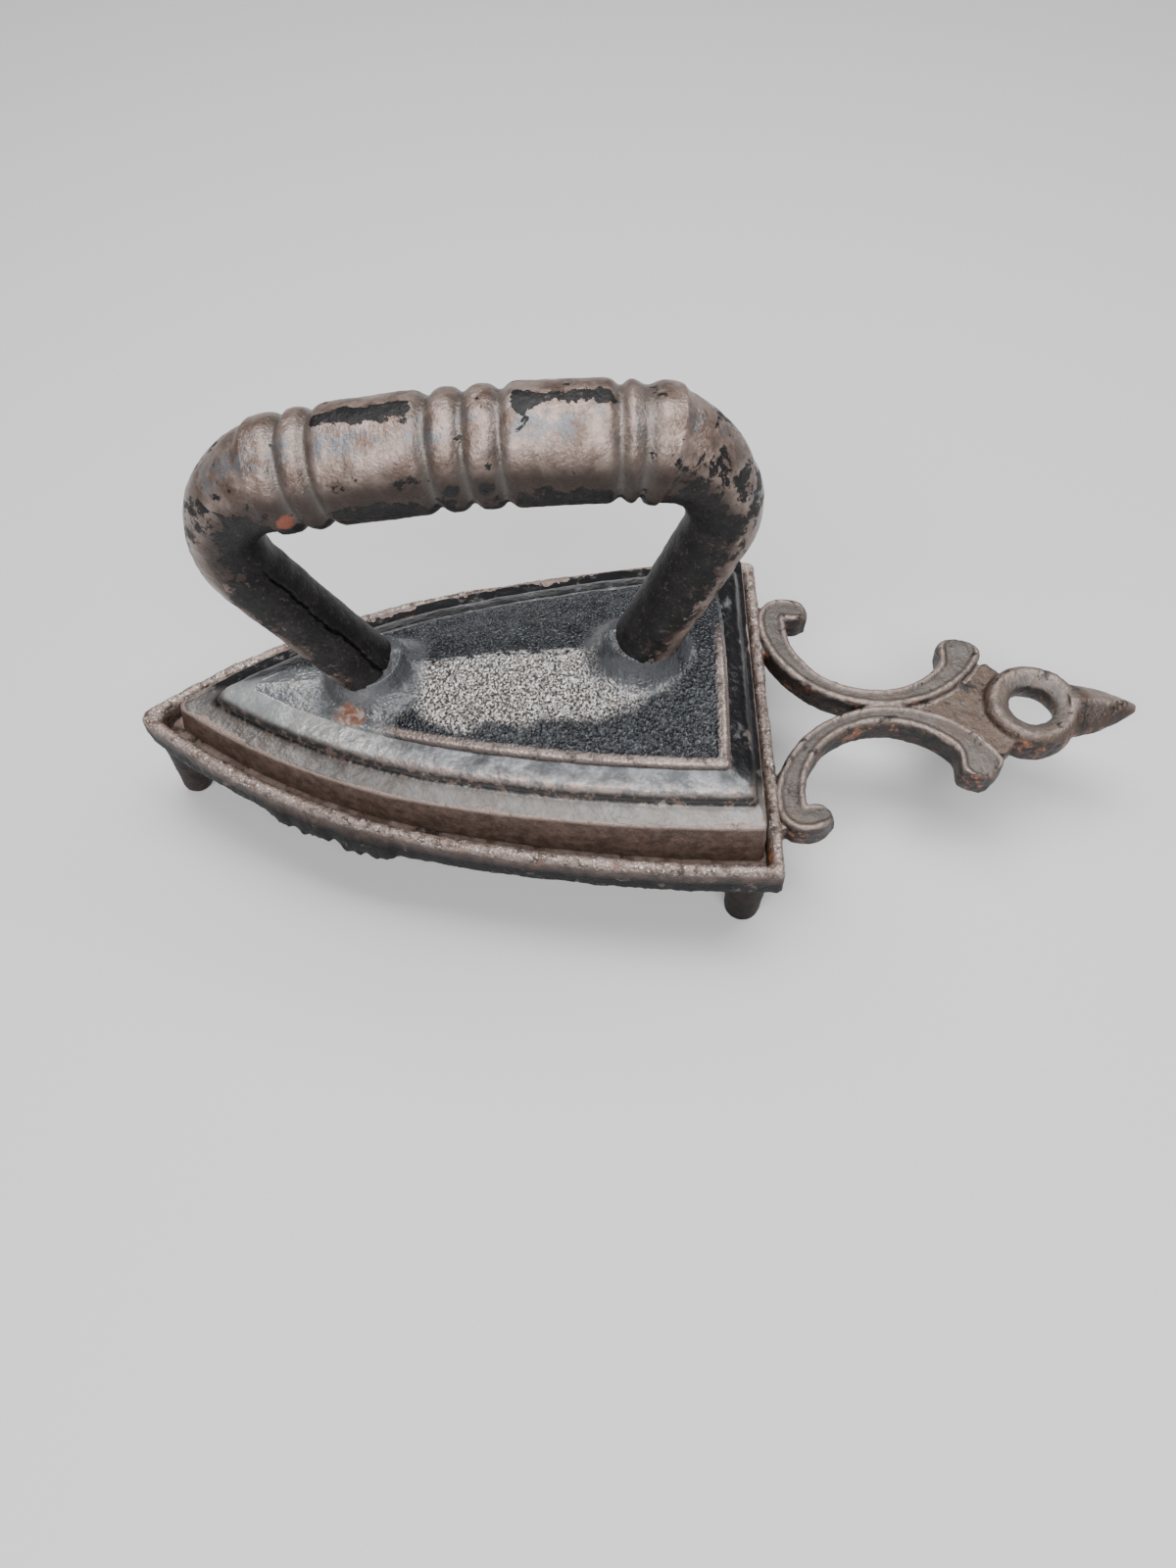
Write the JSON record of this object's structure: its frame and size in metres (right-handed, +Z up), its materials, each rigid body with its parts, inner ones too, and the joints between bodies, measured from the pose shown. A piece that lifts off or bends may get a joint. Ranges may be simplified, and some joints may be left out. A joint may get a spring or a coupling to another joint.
{
  "type": "sad iron with trivet",
  "caption": "Flat sad iron with a stepped wedge body and a grooved tube handle, standing in a fenced, footed trivet with a scroll and ring handle.",
  "frame": {"origin": "centre of the footprint's box, on the floor that the trivet's feet stand on", "axes": "+Z up, +X from the nose to the hanging ring, +Y to the right of a person who stands behind the heel"},
  "size_m": [0.28, 0.1062, 0.1456],
  "materials": {
    "trivet_iron": "worn brown-black cast iron with a rubbed crest, satin",
    "deck_iron": "rusty rough cast iron, matte",
    "foot_iron": "brown-black cast iron, matte",
    "scroll_iron": "grey-green cast iron channel with brown rubbed beads and orange rust, satin",
    "flank_rust": "chocolate-brown rusted flank with a light worn top edge, matte",
    "shoulder_iron": "blackened cast iron rubbed grey on the ledges, satin",
    "crown_black": "pebbled black japan over cast iron with a rubbed brown bead, satin",
    "leg_black": "black japan chipped to brown on the outer side, semi-gloss",
    "grip_bronze": "bare rolled iron rubbed to a brown bronze, with black japan left in flakes, semi-gloss"
  },
  "bodies": {
    "trivet": {"trivet_deck": "deck_iron", "trivet_rim": "trivet_iron", "front_foot": "foot_iron", "rear_foot_left": "foot_iron", "rear_foot_right": "foot_iron", "scroll_left": "scroll_iron", "scroll_right": "scroll_iron", "scroll_web": "scroll_iron", "hanging_ring": "trivet_iron", "finial": "trivet_iron"},
    "iron": {"sole_block": "flank_rust", "stepped_shoulder": "shoulder_iron", "crown_panel": "crown_black", "front_leg": "leg_black", "front_elbow": "leg_black", "grip": "grip_bronze", "rear_elbow": "leg_black", "rear_leg": "leg_black"}
  },
  "joints": [
    {"name": "iron_lift", "type": "slide", "parent": "trivet", "child": "iron", "axis": [0, 0, 1], "range_m": [0, 0.09]}
  ]
}
